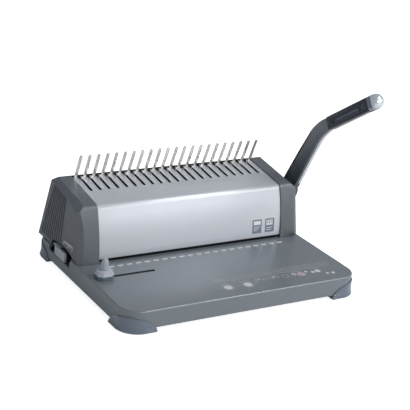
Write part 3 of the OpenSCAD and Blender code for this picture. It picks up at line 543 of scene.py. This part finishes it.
def makeMarginScale(plan):
    (rearY, rearH), (frontY, frontH) = plan["rear"], plan["front"]
    marks = [sidePatch(rearY, rearH, frontY, frontH, plan["line"])]
    for i in range(plan["ticks"]):
        share = i / (plan["ticks"] - 1)
        y, h = between(rearY, frontY, share), between(rearH, frontH, share)
        foot = plan["tickFoot"] + (plan["shorter"] if i % plan["longEvery"] else 0)
        middle, half = (h + foot) / 2, plan["tickHalf"]
        marks.append(sidePatch(y + half, middle, y - half, middle, h - foot))
    laySheets(marks, "marginScale", scaleInk)


makeMarginScale(marginScale)

# Black sheet of painted shade under the cover's front edge, where the sheets go in.
throatStrip = {"front": 17.2, "rear": 37.4, "half": 150, "lift": 0.02, "thick": 0.1}


def makeThroatShadeStrip(plan):
    deep = plan["rear"] - plan["front"]
    strip = trayBar(0, plan["front"] + deep / 2, plan["half"] * 2, deep, plan["lift"])
    laySheets([strip], "throatStrip", blackPlastic, thick=plan["thick"])


makeThroatShadeStrip(throatStrip)

# The cover's sloping top, from its bend at the front, the slope in degrees.
coverTop = {"bendY": 31.5, "bendH": 79.3, "slope": 8.0}


def topHeight(y):
    return coverTop["bendH"] + (y - coverTop["bendY"]) * math.tan(math.radians(coverTop["slope"]))


# Fine dark lines beside the slots, painted shade for the shaded grooves there.
slotLines = {"aside": -4.6, "front": 76.5, "rear": 108, "width": 0.5, "lift": 0.03}


def makeSlotGrooveShade(plan):
    lines = []
    for x in ringPlaces():
        def place(u, v):
            y = between(plan["front"], plan["rear"], v)
            return x + plan["aside"] + (u - 0.5) * plan["width"], y, topHeight(y) + plan["lift"]
        lines.append(sheetOn(place))
    laySheets(lines, "slotLines", panelInk)


makeSlotGrooveShade(slotLines)
print("signs and scale printed")

# Black sheets of painted shade, so that they read as dark gaps: the slots' right walls and the
# guide's slot.
slotShadePlan = {"aside": 2.09, "front": 76.4, "rear": 112.5, "below": 0.02, "deep": 1.15}


def makeSlotWallShade(plan):
    walls = []
    for x in ringPlaces():
        def wall(u, v):
            y = between(plan["rear"], plan["front"], u)
            return x + plan["aside"], y, topHeight(y) - plan["below"] - plan["deep"] * (1 - v)
        walls.append(sheetOn(wall))
    laySheets(walls, "slotLinings", blackPlastic)


makeSlotWallShade(slotShadePlan)

# Painted shade: a black sheet along the guide slot's rear wall and round its right end.
guideSlotShadePlan = {"left": -172, "end": -92, "y": -31, "half": 2.79, "below": 0.03, "deep": 1.9,
               "columns": 24}


def makeGuideSlotShade(plan):
    def around(u, v):  # along the rear wall, then round the slot's right end
        h = -plan["below"] - plan["deep"] * (1 - v)
        if u < 0.5:
            return between(plan["left"], plan["end"], u * 2), plan["y"] + plan["half"], h
        turn = math.pi * (1 - u)
        return (plan["end"] + plan["half"] * math.cos(turn),
                plan["y"] + plan["half"] * math.sin(turn), h)
    laySheets([sheetOn(around, plan["columns"], 1)], "guideSlotLining",
            blackPlastic)


makeGuideSlotShade(guideSlotShadePlan)

# The lever's axle in y and h, and the arm's left side.
leverPlan = {"axle": (64.5, 58), "side": 192.5}


def onLever(x, y, h):
    return x, leverPlan["axle"][0] + y, leverPlan["axle"][1] + h


# The grip's own line, starting from the axle: along it, and down from it.
gripPlan = {"root": (-80.5, 132.6), "angle": 33.8, "middle": 197.5, "half": 8}


def gripSpot(x, along, down):
    turn = math.radians(gripPlan["angle"])
    return onLever(x, gripPlan["root"][0] - along * math.cos(turn) - down * math.sin(turn),
                   gripPlan["root"][1] + along * math.sin(turn) - down * math.cos(turn))


# Pale strips on the arm's front edge and under the grip, a painted highlight on these faces.
leverEdge = {
    "path": [(-22.4, 16.1), (-45, 65), (-59.9, 94.8), (-64.5, 102.6), (-70.6, 110.5),
             (-83.4, 123.5)],
    "columns": 10, "left": 4.5, "right": 9.3, "ahead": 0.03, "below": 0.02,
    "under": {"start": 1, "length": 90, "width": 5.4, "down": 10.02},
}


def makeLeverEdgeHighlight(plan):
    path, under = plan["path"], plan["under"]

    def edge(u, v):
        place = min(u * (len(path) - 1), len(path) - 1.0001)  # stays short of the last point
        i, share = int(place), place - int(place)
        y, h = (between(path[i][k], path[i + 1][k], share) for k in (0, 1))
        x = leverPlan["side"] + between(plan["left"], plan["right"], 1 - v)
        return onLever(x, y - plan["ahead"], h - plan["below"])

    def gripSide(u, v):
        return gripSpot(gripPlan["middle"] + under["width"] * (1 - v),
                        under["start"] + under["length"] * u, under["down"])
    laySheets([sheetOn(edge, plan["columns"], 1), sheetOn(gripSide)], "leverEdge",
            edgeHighlightPaint, "lever")


makeLeverEdgeHighlight(leverEdge)

# Shade in the arm's groove: its four corners from the axle, and its depth.
leverGroove = {"corners": [(-42.3, 105.9), (-40.6, 105.5), (-6.3, 44.1), (-8.0, 43.1)],
               "deep": 0.04}


def makeLeverGroove(plan):
    a, b, c, d = plan["corners"]

    def floor(u, v):
        top = [between(a[k], b[k], v) for k in (0, 1)]
        low = [between(d[k], c[k], v) for k in (0, 1)]
        y, h = (between(top[k], low[k], u) for k in (0, 1))
        return onLever(leverPlan["side"] + plan["deep"], y, h)
    laySheets([sheetOn(floor)], "leverGrooveShade", blackPlastic, "lever")


makeLeverGroove(leverGroove)

# The grip's sunk panel, with strips given by their start, end, two heights and lift.
gripInlayPlan = {
    "deep": 0.77,
    "panel": [(15, 85, -1.7, 3.7, 0.0)],
    "line": [(16, 83, 0.7, 1.4, 0.06)],
    "ends": [(15, 19, -1.7, 3.7, 0.12), (77, 82, -1.7, 3.7, 0.12)],
}


def makeGripInlay(plan):
    x = gripPlan["middle"] - gripPlan["half"] + plan["deep"]

    def strip(start, end, high, low, lift):
        return sheetOn(lambda u, v: gripSpot(x - lift, between(start, end, u),
                                             between(low, high, v)))

    def layStrips(part, name, sheetFinish):
        laySheets([strip(*entry) for entry in plan[part]], name, sheetFinish, "lever")
    layStrips("panel", "gripInlay", gripInlay)
    layStrips("line", "gripInlayLine", inlayLine)
    # The black end marks are painted shade at the sunk panel's two ends.
    layStrips("ends", "gripInlayMarks", blackPlastic)


makeGripInlay(gripInlayPlan)

# A collar round the grip's end. On the right it keeps inside the grip, and so the box.
gripCollarPlan = {"round": 11.6, "tall": 10, "start": 99.2, "length": 8.4, "columns": 64,
                  "proud": 0.03, "sunk": -0.1, "rightFrom": 0.6}


def makeGripCollar(plan):
    def band(u, v):
        turn = 2 * math.pi * (1 - u)
        side, down = math.cos(turn), math.sin(turn)
        reach = min(plan["round"], gripPlan["half"] / max(abs(side), 0.001),
                    plan["tall"] / max(abs(down), 0.001))
        reach += plan["proud"] if side < plan["rightFrom"] else plan["sunk"]
        return gripSpot(gripPlan["middle"] + reach * side, plan["start"] + plan["length"] * v,
                        reach * down)
    laySheets([sheetOn(band, plan["columns"], 1)], "gripCollar", gripCollar,
            "lever")


makeGripCollar(gripCollarPlan)

# Darker foot band round the edge guide's eight sides.
guideBand = {"x": -169, "y": -31, "half": (12.03, 11.03), "chop": 5.0, "low": 0.5, "high": 5.6}


def makeGuideBand(plan):
    (w, d), chop = plan["half"], plan["chop"]
    ring = [(-w, chop - d), (chop - w, -d), (w - chop, -d), (w, chop - d), (w, d - chop),
            (w - chop, d), (chop - w, d), (-w, d - chop)]
    sides = []
    for (x0, y0), (x1, y1) in zip(ring, ring[1:] + ring[:1]):
        sides.append(sheetOn(lambda u, v: (plan["x"] + between(x0, x1, u),
                                           plan["y"] + between(y0, y1, u),
                                           between(plan["low"], plan["high"], v))))
    laySheets(sides, "guideBand", guideShade, "guide")


makeGuideBand(guideBand)
print("linings and lever details made")

# White paper that also glows a little, but only towards the camera.
floorPlan = {"size": 12, "place": (0, 0, -0.0002), "colour": (0.8, 0.8, 0.8),
             "roughness": 0.9, "glow": 0.8}


def makeFloor(plan):
    bpy.ops.mesh.primitive_plane_add(size=plan["size"], location=plan["place"])
    floor = bpy.context.object
    floor.name = "studioFloor"
    finish, tree, shader = startFinish("floorPaper", plan["colour"], plan["roughness"])
    shader.inputs["Specular IOR Level"].default_value = 0.0
    glow = tree.nodes.new("ShaderNodeEmission")
    glow.inputs["Color"].default_value = (1, 1, 1, 1)
    rays = tree.nodes.new("ShaderNodeLightPath")
    seen = tree.nodes.new("ShaderNodeMath")
    seen.operation = "MULTIPLY"
    seen.inputs[1].default_value = plan["glow"]
    tree.links.new(rays.outputs["Is Camera Ray"], seen.inputs[0])
    tree.links.new(seen.outputs[0], glow.inputs["Strength"])
    both = tree.nodes.new("ShaderNodeAddShader")
    tree.links.new(shader.outputs[0], both.inputs[0])
    tree.links.new(glow.outputs[0], both.inputs[1])
    tree.links.new(both.outputs[0], tree.nodes["Material Output"].inputs["Surface"])
    floor.data.materials.append(finish)


makeFloor(floorPlan)

# Soft lamps: place, aim and size in metres, power in watts.
lampPlan = {
    "key": {"at": (1.0, -1.75, 0.95), "aim": (0, 0, 0.08), "size": (3.0, 0.8), "power": 30},
    "left": {"at": (-1.9, -0.7, 1.1), "aim": (-0.05, 0, 0.08), "size": (1.2, 1.2), "power": 3},
    "over": {"at": (1.1, -0.85, 1.8), "aim": (0, 0, 0.05), "size": (0.55, 0.55), "power": 17},
}


def makeLamps(plan):
    for name, lamp in plan.items():
        bpy.ops.object.light_add(type="AREA", location=lamp["at"])
        light = bpy.context.object
        light.name = name + "Lamp"
        light.data.shape = "RECTANGLE"
        light.data.size, light.data.size_y = lamp["size"]
        light.data.energy = lamp["power"]
        towards = Vector(lamp["aim"]) - Vector(lamp["at"])
        light.rotation_euler = towards.to_track_quat("-Z", "Y").to_euler()


makeLamps(lampPlan)

# The camera sees a white sky, and the object is lit by a weaker, bluish one.
skyPlan = {"light": ((0.9, 0.94, 1.0, 1), 0.4), "seen": ((1, 1, 1, 1), 1.0)}


def makeSky(plan):
    world = bpy.data.worlds.new("studio")
    bpy.context.scene.world = world
    world.use_nodes = True
    tree = world.node_tree
    plain = tree.nodes["Background"]
    white = tree.nodes.new("ShaderNodeBackground")
    for shader, (colour, strength) in ((plain, plan["light"]), (white, plan["seen"])):
        shader.inputs["Color"].default_value = colour
        shader.inputs["Strength"].default_value = strength
    rays = tree.nodes.new("ShaderNodeLightPath")
    mix = tree.nodes.new("ShaderNodeMixShader")
    tree.links.new(rays.outputs["Is Camera Ray"], mix.inputs[0])
    tree.links.new(plain.outputs[0], mix.inputs[1])
    tree.links.new(white.outputs[0], mix.inputs[2])
    tree.links.new(mix.outputs[0], tree.nodes["World Output"].inputs["Surface"])


makeSky(skyPlan)
bpy.context.scene.view_settings.view_transform = "Standard"
print("studio lit")
